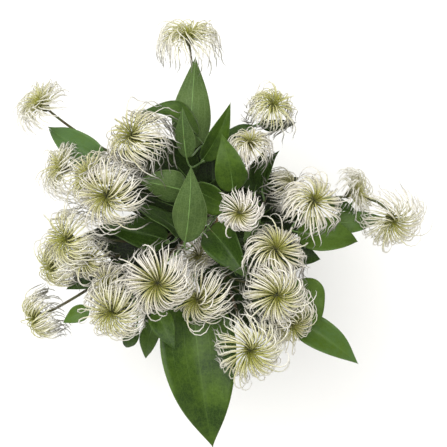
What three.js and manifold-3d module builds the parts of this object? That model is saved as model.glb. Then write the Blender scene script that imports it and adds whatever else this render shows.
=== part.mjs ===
// A hand-tied bunch of clematis in seed: seven cut stems with their leaves, bound by three turns
// of twine, carry twenty-six feathery seed heads. The stems cross at the tie in a spiral and splay
// below it, so the bunch stands unheld on its own cut ends.
// Units are millimetres, +Z is up, and the origin is the cut end of the middle stem.
import * as THREE from "three";
import { mergeVertices } from "three/addons/utils/BufferGeometryUtils.js";
import Module from "manifold-3d";

// Driving dimensions of the stems and of the tie
const TIE_HEIGHT = 140;
const STEM_LEAN = 24; // degrees from upright, where a stem passes the tie
const STEM_RADIUS = 2.1;
const UPPER_STEM_RADIUS = 1.5;
const SHOOT_RADIUS = 1.0;
const LEAF_STALK_WIDTH = 2.0;
const LEAF_STALK_THICKNESS = 1.6;
const TIE_RING_RADIUS = 5.6; // from the bunch's axis to a ring stem's axis, at the tie
const RING_STEMS = 6;
const RING_START = 8; // bearing of the first ring stem's side of the bunch, in degrees
const TWINE_RADIUS = 1.4;
const TWINE_TURNS = 3;
const TWINE_INNER_RADIUS = 9;

// Driving dimensions of the leaves and of the seed heads
const LEAF_THICKNESS = 0.9;
const SMALL_LEAF = 33; // leaves narrower than this, or lower than LOW_LEAF, have fewer stations
const LOW_LEAF = 225;
const LEAF_TIP_SHARE = 0.03; // width of a blade's tip, as a share of its greatest width
const LEAF_FOLD = 14; // degrees that each half of a blade rises from the midrib
const LEAF_WAVE = 0.05; // rise and fall of the margin, as a share of the width
const CORE_RADIUS = 5;
const CORE_HEIGHT = 9;
const CORE_FOOT_RADIUS = 2.2;
const STYLES_PER_HEAD = 8;
const STYLE_ROOT_RADIUS = 1.0;
const STYLE_SHARE = 0.66; // length of a style's curve, as a share of its head's diameter
const STYLE_STEPS = 4;
const STYLE_SWIRL = 60; // degrees that a style turns round its head's axis, from root to tip
const SEAT_GAP = 0.3; // between a seed head and the stalk that it sits on
const CLEARANCE = 0.45; // least distance from a style to anything but its own head
const GOLDEN_ANGLE = 137.508;

// The seed heads. A stem's first head ends its main path, and each later one ends a shoot that
// leaves the main path at the share "at". The centre is the middle of the core, bearing and rise
// are the way that the head faces, in degrees, and curl is how far its styles bend back.
const HEADS = [
  { stem: 0, at: 1, centre: [31, 9, 295], bearing: 250, rise: 70, size: 44, curl: 0.8 },
  { stem: 0, at: 0.35, centre: [-7, -28, 246], bearing: 280, rise: 60, size: 40, curl: 0.8 },
  { stem: 1, at: 1, centre: [169, 5, 230], bearing: -70, rise: 45, size: 76, curl: 0.7 },
  { stem: 1, at: 0.62, centre: [133, 25, 216], bearing: 20, rise: 25, size: 58, curl: 0.5 },
  { stem: 1, at: 0.42, centre: [95, 17, 280], bearing: 60, rise: 65, size: 62, curl: 0.9 },
  { stem: 1, at: 0.3, centre: [72, 30, 240], bearing: 15, rise: 20, size: 44, curl: 1.1 },
  { stem: 2, at: 1, centre: [-15, 166, 222], bearing: 96, rise: 30, size: 68, curl: 0.85 },
  { stem: 2, at: 0.45, centre: [61, 104, 235], bearing: 70, rise: 50, size: 52, curl: 1.1 },
  { stem: 2, at: 0.3, centre: [40, 67, 268], bearing: 95, rise: 42, size: 46, curl: 1 },
  { stem: 3, at: 1, centre: [-148, 106, 215], bearing: 138, rise: 36, size: 62, curl: 0.6 },
  { stem: 3, at: 0.6, centre: [-126, 48, 225], bearing: 165, rise: 32, size: 62, curl: 0.6 },
  { stem: 3, at: 0.5, centre: [-100, 38, 252], bearing: 160, rise: 50, size: 62, curl: 1 },
  { stem: 3, at: 0.35, centre: [-83, 24, 285], bearing: 215, rise: 62, size: 74, curl: 1 },
  { stem: 3, at: 0.42, centre: [-61, 74, 275], bearing: 150, rise: 50, size: 80, curl: 1.15 },
  { stem: 4, at: 1, centre: [-155, -88, 205], bearing: 205, rise: 20, size: 54, curl: 1.1 },
  { stem: 4, at: 0.55, centre: [-139, -40, 215], bearing: 200, rise: 30, size: 54, curl: 1.1 },
  { stem: 4, at: 0.345, centre: [-122, -15, 240], bearing: 185, rise: 50, size: 64, curl: 1 },
  { stem: 4, at: 0.46, centre: [-107, -33, 232], bearing: 200, rise: 70, size: 46, curl: 1 },
  { stem: 5, at: 1, centre: [-80, -77, 270], bearing: 235, rise: 58, size: 70, curl: 0.9 },
  { stem: 5, at: 0.7, centre: [-84, -58, 250], bearing: 160, rise: 50, size: 54, curl: 1 },
  { stem: 5, at: 0.4, centre: [-39, -51, 305], bearing: 250, rise: 72, size: 74, curl: 0.9 },
  { stem: 5, at: 0.3, centre: [-4, -66, 275], bearing: 220, rise: 55, size: 64, curl: 0.9 },
  { stem: 6, at: 1, centre: [39, -110, 285], bearing: 290, rise: 68, size: 76, curl: 0.85 },
  { stem: 6, at: 0.5, centre: [75, -87, 262], bearing: 310, rise: 40, size: 62, curl: 0.9 },
  { stem: 6, at: 0.42, centre: [62, -62, 300], bearing: 300, rise: 75, size: 63, curl: 0.9 },
  { stem: 6, at: 0.3, centre: [62, -27, 285], bearing: 80, rise: 56, size: 64, curl: 0.95 },
];

// The leaves. A leaf's stalk leaves its stem's path number "path", where 0 is the main one, at the
// share "at". Foot and tip are the ends of the blade's midrib, arch is how far its middle rises
// from the line between them, and roll turns the blade about that line: at 180 its underside is up.
const LEAVES = [
  { stem: 2, path: 0, at: 0.5, foot: [-14, 66, 243], tip: [-9, 152, 224], width: 34, arch: 4, roll: 180 },
  { stem: 2, path: 0, at: 0.5, foot: [-7, 77, 250], tip: [-60, 96, 258], width: 26, arch: 12, roll: 50 },
  { stem: 2, path: 0, at: 0.4, foot: [-16, 57, 266], tip: [-19, 100, 292], width: 17, arch: 3, roll: 165 },
  { stem: 2, path: 1, at: 0.3, foot: [-2, 57, 244], tip: [23, 106, 268], width: 21, arch: 4, roll: 20 },
  { stem: 0, path: 0, at: 0.68, foot: [25, 28, 264], tip: [15, 77, 286], width: 26, arch: 5, roll: 0 },
  { stem: 2, path: 1, at: 0.6, foot: [51, 90, 222], tip: [84, 92, 214], width: 12, arch: 3, roll: 20 },
  { stem: 2, path: 1, at: 0.4, foot: [17, 65, 240], tip: [49, 87, 234], width: 17, arch: 9, roll: -40 },
  { stem: 1, path: 3, at: 0.55, foot: [52, 31, 236], tip: [67, 64, 254], width: 18, arch: 4, roll: -30 },
  { stem: 1, path: 3, at: 0.3, foot: [45, 28, 220], tip: [54, 66, 236], width: 25, arch: 4, roll: 0 },
  { stem: 3, path: 3, at: 0.4, foot: [-15, 27, 262], tip: [-60, 37, 276], width: 29, arch: 5, roll: 170 },
  { stem: 0, path: 0, at: 0.35, foot: [-17, -18, 282], tip: [-11, 48, 316], width: 31, arch: 6, roll: 175 },
  { stem: 0, path: 0, at: 0.4, foot: [-8, 30, 252], tip: [33, 14, 266], width: 28, arch: 4, roll: 30 },
  { stem: 0, path: 0, at: 0.3, foot: [5, -7, 252], tip: [38, -50, 274], width: 34, arch: 6, roll: 0 },
  { stem: 5, path: 2, at: 0.4, foot: [-20, -12, 254], tip: [-68, 14, 262], width: 24, arch: 5, roll: 50 },
  { stem: 4, path: 2, at: 0.3, foot: [-36, -16, 232], tip: [-97, -4, 242], width: 30, arch: 6, roll: 0 },
  { stem: 4, path: 0, at: 0.5, foot: [-93, -46, 210], tip: [-130, -63, 206], width: 18, arch: 4, roll: 0 },
  { stem: 3, path: 0, at: 0.56, foot: [-91, 53, 226], tip: [-147, 89, 206], width: 30, arch: 6, roll: 0 },
  { stem: 5, path: 0, at: 0.5, foot: [-45, -87, 240], tip: [-55, -126, 220], width: 16, arch: 5, roll: 0 },
  { stem: 5, path: 0, at: 0.8, foot: [-63, -96, 238], tip: [-73, -115, 226], width: 14, arch: 4, roll: 0 },
  { stem: 5, path: 3, at: 0.4, foot: [-11, -66, 250], tip: [7, -205, 236], width: 66, arch: 14, roll: -6 },
  { stem: 5, path: 2, at: 0.5, foot: [-42, -78, 268], tip: [-26, -112, 278], width: 20, arch: 4, roll: 0 },
  { stem: 1, path: 0, at: 0.55, foot: [84, -9, 246], tip: [139, -18, 236], width: 32, arch: 7, roll: 0 },
  { stem: 1, path: 0, at: 0.75, foot: [115, -1, 224], tip: [165, 5, 216], width: 18, arch: 6, roll: 0 },
  { stem: 1, path: 1, at: 0.3, foot: [112, 20, 232], tip: [140, 8, 230], width: 11, arch: 3, roll: 0 },
  { stem: 6, path: 3, at: 0.4, foot: [83, -53, 250], tip: [103, -94, 246], width: 33, arch: 6, roll: 0 },
  { stem: 6, path: 1, at: 0.5, foot: [78, -86, 230], tip: [141, -131, 220], width: 30, arch: 7, roll: 0 },
  { stem: 6, path: 3, at: 0.6, foot: [73, -24, 240], tip: [105, -34, 236], width: 20, arch: 4, roll: 0 },
  { stem: 2, path: 0, at: 0.3, foot: [7, 25, 196], tip: [4, 84, 195], width: 36, arch: 2, roll: 0 },
  { stem: 6, path: 0, at: 0.3, foot: [26, -46, 208], tip: [72, -112, 212], width: 46, arch: 4, roll: 0 },
  { stem: 3, path: 0, at: 0.16, foot: [-22, 24, 166], tip: [-86, 68, 174], width: 40, arch: 3, roll: 0 },
  { stem: 4, path: 0, at: 0.14, foot: [-22, -5, 162], tip: [-98, -46, 174], width: 42, arch: 3, roll: 0 },
  { stem: 2, path: 0, at: 0.16, foot: [6, 24, 164], tip: [-8, 102, 174], width: 38, arch: 3, roll: 0 },
  { stem: 1, path: 0, at: 0.12, foot: [34, 0, 172], tip: [108, 2, 176], width: 40, arch: 3, roll: 0 },
  { stem: 4, path: 0, at: 0.6, foot: [-107, -80, 226], tip: [-131, -93, 222], width: 14, arch: 3, roll: 0 },
  { stem: 6, path: 3, at: 0.3, foot: [36, -16, 238], tip: [35, -47, 246], width: 18, arch: 4, roll: 0 },
  { stem: 0, path: 0, at: 0.7, foot: [46, 8, 272], tip: [34, -18, 268], width: 13, arch: 3, roll: 150 },
  { stem: 1, path: 0, at: 0.2, foot: [22, 18, 190], tip: [88, 42, 196], width: 38, arch: 3, roll: 0 },
  { stem: 3, path: 0, at: 0.2, foot: [-17, 41, 206], tip: [-57, 80, 226], width: 38, arch: 7, roll: 0 },
  { stem: 6, path: 0, at: 0.2, foot: [10, -26, 201], tip: [26, -100, 202], width: 44, arch: 5, roll: 0 },
  { stem: 4, path: 0, at: 0.4, foot: [-58, -42, 200], tip: [-100, -90, 204], width: 44, arch: 6, roll: 0 },
  { stem: 6, path: 0, at: 0.24, foot: [21, -15, 198], tip: [92, -42, 200], width: 46, arch: 7, roll: 0 },
  { stem: 3, path: 0, at: 0.24, foot: [-26, 13, 200], tip: [-92, 33, 210], width: 40, arch: 7, roll: 0 },
  { stem: 5, path: 0, at: 0.36, foot: [-27, -43, 206], tip: [-55, -104, 210], width: 36, arch: 6, roll: 0 },
  { stem: 0, path: 0, at: 0.22, foot: [9, 14, 204], tip: [33, 48, 212], width: 31, arch: 5, roll: 0 },
  { stem: 4, path: 0, at: 0.2, foot: [-38, -20, 192], tip: [-114, -10, 190], width: 46, arch: 4, roll: 0 },
];

const wasm = await Module();
wasm.setup();

const degrees = THREE.MathUtils.degToRad;
const vector = (xyz) => new THREE.Vector3(...xyz);

// A closed three.js geometry as a solid that can be joined and measured.
function toSolid(geometry) {
  const bare = geometry.clone();
  bare.deleteAttribute("normal");
  bare.deleteAttribute("uv");
  const merged = mergeVertices(bare, 1e-4);
  return new wasm.Manifold(
    new wasm.Mesh({
      numProp: 3,
      vertProperties: merged.attributes.position.array,
      triVerts: new Uint32Array(merged.index.array),
    }),
  );
}

function toGeometry(solid) {
  const { numProp, numVert, vertProperties, triVerts } = solid.getMesh();
  const positions = new Float32Array(numVert * 3);
  for (let i = 0; i < numVert; i++) {
    positions.set(vertProperties.subarray(i * numProp, i * numProp + 3), i * 3);
  }
  const geometry = new THREE.BufferGeometry();
  geometry.setAttribute("position", new THREE.BufferAttribute(positions, 3));
  geometry.setIndex(new THREE.BufferAttribute(triVerts, 1));
  geometry.computeVertexNormals();
  return geometry;
}

// One solid from several that run into each other, without the slivers that joining leaves.
const join = (solids) => wasm.Manifold.union(solids).simplify(0.01);

// A round tube along a curve, with the given number of sides and steps.
function tube(path, radius, sides, steps) {
  const section = new THREE.Shape(
    Array.from({ length: sides }, (_, i) => {
      const angle = (2 * Math.PI * i) / sides;
      return new THREE.Vector2(radius * Math.cos(angle), radius * Math.sin(angle));
    }),
  );
  const options = { extrudePath: path, steps, bevelEnabled: false };
  return toSolid(new THREE.ExtrudeGeometry(section, options));
}

// The way that a seed head faces, as a unit vector.
function facing({ bearing, rise }) {
  const along = degrees(bearing);
  const up = degrees(rise);
  return new THREE.Vector3(
    Math.cos(up) * Math.cos(along),
    Math.cos(up) * Math.sin(along),
    Math.sin(up),
  );
}

// The point under a head's core where its stalk ends.
function seat(head) {
  const drop = CORE_HEIGHT / 2 + SEAT_GAP;
  return vector(head.centre).addScaledVector(facing(head), -drop);
}

// A curve that leaves a point in one direction and runs up into a seed head along its axis.
function stalkPath(start, direction, head) {
  const end = seat(head);
  const reach = 0.32 * start.distanceTo(end);
  return new THREE.CubicBezierCurve3(
    start,
    start.clone().addScaledVector(direction, reach),
    end.clone().addScaledVector(facing(head), -reach),
    end,
  );
}

// Where a stem passes the tie, and its direction there. Ring stems lean round the axis, all the
// same way, and the middle stem is upright.
function tieCrossing(stem) {
  if (stem === 0) {
    return { point: new THREE.Vector3(0, 0, TIE_HEIGHT), direction: new THREE.Vector3(0, 0, 1) };
  }
  const side = degrees(RING_START + ((stem - 1) * 360) / RING_STEMS);
  const lean = degrees(STEM_LEAN);
  return {
    point: new THREE.Vector3(
      TIE_RING_RADIUS * Math.sin(side),
      -TIE_RING_RADIUS * Math.cos(side),
      TIE_HEIGHT,
    ),
    direction: new THREE.Vector3(
      Math.sin(lean) * Math.cos(side),
      Math.sin(lean) * Math.sin(side),
      Math.cos(lean),
    ),
  };
}

// All the paths of one stem above the tie: the main one first, then its shoots.
function stemPaths(stem) {
  const { point, direction } = tieCrossing(stem);
  const [first, ...others] = HEADS.filter((head) => head.stem === stem);
  const main = stalkPath(point, direction, first);
  const shoots = others.map((head) => {
    const start = main.getPoint(head.at);
    return stalkPath(start, parting(main, head.at, seat(head)), head);
  });
  return [main, ...shoots];
}

// The way that a side branch sets out from a path: halfway between the path's own direction and
// the straight line to where the branch is going.
function parting(path, at, goal) {
  const straight = goal.clone().sub(path.getPoint(at)).normalize();
  return path.getTangent(at).add(straight).normalize();
}

// The straight part of a stem from the tie down to the surface that the bunch stands on, where it
// is cut level.
function lowerStem(stem) {
  const { point, direction } = tieCrossing(stem);
  const past = 6;
  const below = stem === 0 ? 0 : 4;
  const top = point.clone().addScaledVector(direction, past);
  const bottom = point.clone().addScaledVector(direction, -(TIE_HEIGHT + below) / direction.z);
  const whole = tube(new THREE.LineCurve3(bottom, top), STEM_RADIUS, 8, 1);
  return stem === 0 ? whole : whole.trimByPlane([0, 0, 1], 0);
}

// A leaf's half width at the share u of its length, as a share of its greatest half width: a full
// base, widest at a third of the way, drawn out to a point.
function leafOutline(u) {
  const rise = 0.5;
  const taper = 1.05;
  const widest = rise / (rise + taper);
  const shape = u ** rise * (1 - u) ** taper;
  const greatest = widest ** rise * (1 - widest) ** taper;
  return Math.max(shape / greatest, LEAF_TIP_SHARE);
}

// A leaf's midrib, and the direction that its upper side faces at the foot of the blade.
function leafFrame(leaf) {
  const foot = vector(leaf.foot);
  const tip = vector(leaf.tip);
  const chord = tip.clone().sub(foot).normalize();
  const up = new THREE.Vector3(0, 0, 1).addScaledVector(chord, -chord.z).normalize();
  up.applyAxisAngle(chord, degrees(leaf.roll));
  const rise = 2 * leaf.arch * Math.sign(up.z);
  const middle = foot.clone().lerp(tip, 0.5).addScaledVector(up, rise);
  return { midrib: new THREE.QuadraticBezierCurve3(foot, middle, tip), up };
}

// A leaf's stalk, from inside its stem's path to the foot of the blade.
function leafStalk(leaf, midrib, path) {
  const start = path.getPoint(leaf.at);
  const foot = midrib.getPoint(0);
  const reach = 0.35 * start.distanceTo(foot);
  return new THREE.CubicBezierCurve3(
    start,
    start.clone().addScaledVector(parting(path, leaf.at, foot), reach),
    foot.clone().addScaledVector(midrib.getTangent(0), -reach),
    foot,
  );
}

// One leaf with its stalk, as a strip three points wide. The blade's halves are folded up from the
// midrib and its margin is waved. The stalk's frame is carried back from the blade's foot.
function leafSolid(leaf, number, path) {
  const { midrib, up } = leafFrame(leaf);
  const stalk = leafStalk(leaf, midrib, path);
  const fold = Math.tan(degrees(LEAF_FOLD));
  const rows = [];
  const isSmall = leaf.width < SMALL_LEAF || leaf.foot[2] < LOW_LEAF;
  const stations = isSmall ? [0, 0.14, 0.42, 0.78, 1] : [0, 0.1, 0.3, 0.55, 0.8, 1];
  for (const u of stations) {
    const tangent = midrib.getTangent(u);
    const across = tangent.clone().cross(up).normalize();
    const normal = across.clone().cross(tangent).normalize();
    const half = Math.max((leaf.width / 2) * leafOutline(u), u ? 0 : LEAF_STALK_WIDTH / 2);
    const points = [-1, 0, 1].map((v) => {
      const wave = LEAF_WAVE * half * Math.sin(9 * u + 2.4 * number + v);
      const rise = (fold * half + 2 * wave) * Math.abs(v);
      return midrib.getPoint(u).addScaledVector(across, half * v).addScaledVector(normal, rise);
    });
    rows.push({ points, normal, tangent, across, thickness: LEAF_THICKNESS });
  }
  for (const t of isSmall ? [0.6, 0] : [0.75, 0.4, 0]) {
    const after = rows[0];
    const tangent = stalk.getTangent(t);
    const turn = new THREE.Quaternion().setFromUnitVectors(after.tangent, tangent);
    const across = after.across.clone().applyQuaternion(turn);
    const normal = after.normal.clone().applyQuaternion(turn);
    const points = [-1, 0, 1].map((v) =>
      stalk.getPoint(t).addScaledVector(across, (v * LEAF_STALK_WIDTH) / 2),
    );
    rows.unshift({ points, normal, tangent, across, thickness: LEAF_STALK_THICKNESS });
  }
  return stripSolid(rows);
}

// A thin closed strip from rows of three points, each row with its normal and thickness. Both
// faces are split into triangles alike, so that they never cross.
function stripSolid(rows) {
  const width = rows[0].points.length;
  const count = rows.length * width;
  const positions = [];
  for (const side of [0.5, -0.5]) {
    for (const { points, normal, thickness } of rows) {
      points.forEach((point) => {
        positions.push(...point.clone().addScaledVector(normal, side * thickness));
      });
    }
  }
  const index = [];
  const quad = (a, b, c, d) => index.push(a, b, c, a, c, d);
  for (let i = 0; i + 1 < rows.length; i++) {
    const left = i * width;
    const right = left + width - 1;
    for (let a = left; a < right; a++) {
      const [b, c, d] = [a + 1, a + width + 1, a + width];
      quad(a, b, c, d);
      index.push(a + count, c + count, b + count, a + count, d + count, c + count);
    }
    quad(left, left + width, left + width + count, left + count);
    quad(right + width, right, right + count, right + width + count);
  }
  for (let j = 0; j + 1 < width; j++) {
    const last = (rows.length - 1) * width + j;
    quad(j + 1, j, j + count, j + 1 + count);
    quad(last, last + 1, last + 1 + count, last + count);
  }
  const geometry = new THREE.BufferGeometry();
  geometry.setAttribute("position", new THREE.Float32BufferAttribute(positions, 3));
  geometry.setIndex(index);
  return toSolid(geometry);
}

function leafyStem(stem) {
  const paths = stemPaths(stem);
  const [main, ...shoots] = paths;
  const leaves = LEAVES.map((leaf, number) => ({ leaf, number }))
    .filter(({ leaf }) => leaf.stem === stem)
    .map(({ leaf, number }) => leafSolid(leaf, number, paths[leaf.path]));
  return join([
    lowerStem(stem),
    tube(main, UPPER_STEM_RADIUS, 6, 6),
    ...shoots.map((shoot) => tube(shoot, SHOOT_RADIUS, 5, 4)),
    ...leaves,
  ]);
}

// The cluster of seeds in the middle of a head, on a flat foot that faces its stalk.
function headCore(head) {
  const profile = [
    [0, 0],
    [CORE_FOOT_RADIUS, 0],
    [CORE_RADIUS, 0.4 * CORE_HEIGHT],
    [0.8 * CORE_RADIUS, 0.8 * CORE_HEIGHT],
    [0, CORE_HEIGHT],
  ].map(([radius, height]) => new THREE.Vector2(radius, height - CORE_HEIGHT / 2));
  const core = new THREE.LatheGeometry(profile, 5);
  core.rotateX(Math.PI / 2);
  core.applyQuaternion(headTurn(head));
  core.translate(...head.centre);
  return toSolid(core);
}

// The rotation that carries +Z to the way that a head faces.
function headTurn(head) {
  return new THREE.Quaternion().setFromUnitVectors(new THREE.Vector3(0, 0, 1), facing(head));
}

// The points of one style. It leaves the core at the polar angle "start" from the head's axis and
// at the given azimuth, and bends back by "bend" degrees over its length.
function stylePoints(head, { azimuth, start, bend, length }) {
  const turn = headTurn(head);
  const direction = (share) => {
    const polar = degrees(start + bend * share ** 1.3);
    const around = degrees(azimuth + STYLE_SWIRL * share ** 1.4);
    return new THREE.Vector3(
      Math.sin(polar) * Math.cos(around),
      Math.sin(polar) * Math.sin(around),
      Math.cos(polar),
    ).applyQuaternion(turn);
  };
  const point = vector(head.centre).addScaledVector(direction(0), 0.3 * CORE_RADIUS);
  const points = [point.clone()];
  for (let i = 0; i < STYLE_STEPS; i++) {
    point.addScaledVector(direction((i + 0.5) / STYLE_STEPS), length / STYLE_STEPS);
    points.push(point.clone());
  }
  return points;
}

// A three-sided cone bent along the points of a style.
function styleSolid(points) {
  const last = points.length - 1;
  const cone = new THREE.ConeGeometry(STYLE_ROOT_RADIUS, last, 3, last);
  const position = cone.getAttribute("position");
  const curve = new THREE.CatmullRomCurve3(points);
  const frames = curve.computeFrenetFrames(last, false);
  for (let i = 0; i < position.count; i++) {
    const level = Math.round(position.getY(i) + last / 2);
    const place = points[level].clone();
    const taper = 1 - 0.35 * (level / last);
    const wide = level === last ? 0 : (STYLE_ROOT_RADIUS * taper) / Math.max(radiusOf(position, i), 1e-6);
    const onAxis = radiusOf(position, i) < 1e-6;
    place.addScaledVector(frames.normals[level], onAxis ? 0 : position.getX(i) * wide);
    place.addScaledVector(frames.binormals[level], onAxis ? 0 : -position.getZ(i) * wide);
    position.setXYZ(i, ...place);
  }
  return toSolid(cone);
}

const radiusOf = (position, i) => Math.hypot(position.getX(i), position.getZ(i));

// True where two solids' boxes come within the clearance of each other.
function near(a, b) {
  const [p, q] = [a.boundingBox(), b.boundingBox()];
  return [0, 1, 2].every((k) => p.min[k] - CLEARANCE < q.max[k] && q.min[k] - CLEARANCE < p.max[k]);
}

const isClear = (solid, others) =>
  others.every((other) => !near(solid, other) || solid.minGap(other, CLEARANCE) >= CLEARANCE);

// The styles of one head, spaced round it by the golden angle. One that would touch something is
// turned aside or shortened until it is clear, or else left out.
function headStyles(head, others) {
  const styles = [];
  for (let i = 0; i < STYLES_PER_HEAD; i++) {
    const share = (i + 0.5) / STYLES_PER_HEAD;
    const style = {
      azimuth: i * GOLDEN_ANGLE + head.bearing,
      start: THREE.MathUtils.lerp(12, 78, share) * THREE.MathUtils.lerp(0.6, 1, head.curl),
      bend: THREE.MathUtils.lerp(185, 130, share) * head.curl,
      length: STYLE_SHARE * head.size,
    };
    const tries = [1, 0.85, 0.7].flatMap((cut) => [0, 8, -8, 16, -16].map((aside) => ({ cut, aside })));
    for (const { cut, aside } of tries) {
      const azimuth = style.azimuth + aside;
      const solid = styleSolid(stylePoints(head, { ...style, azimuth, length: cut * style.length }));
      if (isClear(solid, others)) {
        styles.push(solid);
        break;
      }
    }
  }
  return styles;
}

// The twine: a ring whose outside shows its turns, lying snugly round the crossing stems.
function tie() {
  const profile = [];
  const bottom = TIE_HEIGHT - TWINE_TURNS * TWINE_RADIUS;
  for (let turn = 0; turn < TWINE_TURNS; turn++) {
    for (const angle of [-60, 0, 60]) {
      const height = bottom + (2 * turn + 1) * TWINE_RADIUS + TWINE_RADIUS * Math.sin(degrees(angle));
      const radius = TWINE_INNER_RADIUS + TWINE_RADIUS * (1 + Math.cos(degrees(angle)));
      profile.push(new THREE.Vector2(radius, height));
    }
  }
  profile.push(new THREE.Vector2(TWINE_INNER_RADIUS, TIE_HEIGHT + TWINE_TURNS * TWINE_RADIUS));
  profile.unshift(new THREE.Vector2(TWINE_INNER_RADIUS, bottom));
  profile.push(profile[0].clone());
  const ring = new THREE.LatheGeometry(profile, 14);
  ring.rotateX(Math.PI / 2);
  return toSolid(ring);
}

const materials = {
  greenery: new THREE.MeshStandardMaterial({ color: 0x4c7433, roughness: 0.5, metalness: 0 }),
  seedHead: new THREE.MeshStandardMaterial({ color: 0xe9e3cb, roughness: 0.8, metalness: 0 }),
  twine: new THREE.MeshStandardMaterial({ color: 0xb08f5e, roughness: 0.95, metalness: 0 }),
};

const bunch = new THREE.Group();

function addPiece(name, solid, material) {
  const mesh = new THREE.Mesh(toGeometry(solid), material);
  mesh.name = name;
  bunch.add(mesh);
}

const twoDigits = (number) => String(number).padStart(2, "0");

const stems = Array.from({ length: RING_STEMS + 1 }, (_, stem) => leafyStem(stem));
const twine = tie();
const cores = HEADS.map(headCore);
const heads = [...cores];
HEADS.forEach((head, i) => {
  const others = [...stems, twine, ...heads.filter((_, k) => k !== i)];
  heads[i] = join([cores[i], ...headStyles(head, others)]);
});

stems.forEach((solid, i) => addPiece(`leafy_stem_${twoDigits(i + 1)}`, solid, materials.greenery));
heads.forEach((solid, i) => addPiece(`seed_head_${twoDigits(i + 1)}`, solid, materials.seedHead));
addPiece("binding_twine", twine, materials.twine);

export default bunch;
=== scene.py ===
# %% [markdown]
# # A hand-tied bunch of clematis in seed
# The bunch has three kinds of plant surface. The leaves are thin folded sheets with nerves that
# run in arcs from foot to tip. The stems and shoots are slender ribbed tubes. The seed heads are
# mops of long silky styles, each one a tapering thread with fine hairs. All of them can be worked
# out as rings of points carried along a path, so one lofting function makes every piece here.
#
# The frame holds the same bunch as plain solids. Each solid is replaced by one finer piece that
# keeps its form, because the paths and the tables of heads and leaves below are the same.

from collections import namedtuple
from math import pi, radians

import bpy
import numpy as np
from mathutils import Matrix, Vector


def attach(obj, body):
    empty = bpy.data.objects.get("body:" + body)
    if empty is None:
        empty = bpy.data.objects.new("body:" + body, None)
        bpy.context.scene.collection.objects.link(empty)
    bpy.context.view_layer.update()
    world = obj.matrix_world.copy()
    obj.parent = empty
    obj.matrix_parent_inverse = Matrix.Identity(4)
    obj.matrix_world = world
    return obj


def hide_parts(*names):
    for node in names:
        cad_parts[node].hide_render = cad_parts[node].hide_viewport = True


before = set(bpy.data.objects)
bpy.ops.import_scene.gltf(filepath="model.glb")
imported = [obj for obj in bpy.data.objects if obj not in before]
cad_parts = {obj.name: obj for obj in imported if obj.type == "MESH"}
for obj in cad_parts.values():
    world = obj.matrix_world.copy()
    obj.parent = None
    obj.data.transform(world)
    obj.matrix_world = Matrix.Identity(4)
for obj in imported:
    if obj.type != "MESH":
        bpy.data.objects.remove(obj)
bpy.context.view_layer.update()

# %% [markdown]
# ## Sizes and places
# Lengths are millimetres, as a grower would measure them, and are turned to metres only where a
# mesh is made. Stems are numbered from 0, the upright one in the middle. The others lean round
# the axis, all the same way, which is what lets a hand-tied bunch stand on its cut ends.

# %% Driving dimensions
MM = 0.001

TIE_HEIGHT = 140
STEM_LEAN = 24
TIE_RING_RADIUS = 5.6
RING_STEMS = 6
RING_START = 8
LOWER_STEM_RADIUS = 2.1
UPPER_STEM_RADIUS = 1.5
SHOOT_RADIUS = 1.0
LEAF_STALK_RADIUS = 0.9
LEAF_FOLD = 14
LEAF_WAVE = 0.07
CORE_RADIUS = 5
CORE_HEIGHT = 9
SEAT_GAP = 0.3
GOLDEN_ANGLE = 137.508
TWINE_RADIUS = 1.4
TWINE_TURNS = 3
TWINE_INNER_RADIUS = 9
LOWEST_LEAF = 185
HIGHEST_LEAF = 285

# %% [markdown]
# Each head ends the main path of its stem, where "at" is 1, or a shoot that leaves that path at
# the share "at". The centre is the middle of its seeds, bearing and rise are the way it faces in
# degrees, and curl is how far its styles bend back. Ripeness runs from 0, a yellow-green heart,
# to 1, a tan heart with silvery styles.

# %% The seed heads
Head = namedtuple("Head", "stem at centre bearing rise size curl ripeness")

HEADS = [
    Head(0, 1, (31, 9, 295), 250, 70, 44, 0.8, 0.9),
    Head(0, 0.35, (-7, -28, 246), 280, 60, 40, 0.8, 0.7),
    Head(1, 1, (169, 5, 230), -70, 45, 76, 0.7, 0.3),
    Head(1, 0.62, (133, 25, 216), 20, 25, 58, 0.5, 0.1),
    Head(1, 0.42, (95, 17, 280), 60, 65, 62, 0.9, 0.6),
    Head(1, 0.3, (72, 30, 240), 15, 20, 44, 1.1, 0.4),
    Head(2, 1, (-15, 166, 222), 96, 30, 68, 0.85, 0.1),
    Head(2, 0.45, (61, 104, 235), 70, 50, 52, 1.1, 0.1),
    Head(2, 0.3, (40, 67, 268), 95, 42, 46, 1, 0.6),
    Head(3, 1, (-148, 106, 215), 138, 36, 62, 0.6, 0.0),
    Head(3, 0.6, (-126, 48, 225), 165, 32, 62, 0.6, 0.1),
    Head(3, 0.5, (-100, 38, 252), 160, 50, 62, 1, 0.3),
    Head(3, 0.35, (-83, 24, 285), 215, 62, 74, 1, 0.6),
    Head(3, 0.42, (-61, 74, 275), 150, 50, 80, 1.15, 0.5),
    Head(4, 1, (-155, -88, 205), 205, 20, 54, 1.1, 0.0),
    Head(4, 0.55, (-139, -40, 215), 200, 30, 54, 1.1, 0.1),
    Head(4, 0.345, (-122, -15, 240), 185, 50, 64, 1, 0.2),
    Head(4, 0.46, (-107, -33, 232), 200, 70, 46, 1, 0.3),
    Head(5, 1, (-80, -77, 270), 235, 58, 70, 0.9, 0.3),
    Head(5, 0.7, (-84, -58, 250), 160, 50, 54, 1, 0.7),
    Head(5, 0.4, (-39, -51, 305), 250, 72, 74, 0.9, 0.7),
    Head(5, 0.3, (-4, -66, 275), 220, 55, 64, 0.9, 0.5),
    Head(6, 1, (39, -110, 285), 290, 68, 76, 0.85, 0.1),
    Head(6, 0.5, (75, -87, 262), 310, 40, 62, 0.9, 0.5),
    Head(6, 0.42, (62, -62, 300), 300, 75, 63, 0.9, 0.5),
    Head(6, 0.3, (62, -27, 285), 80, 56, 64, 0.95, 0.6),
]
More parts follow.
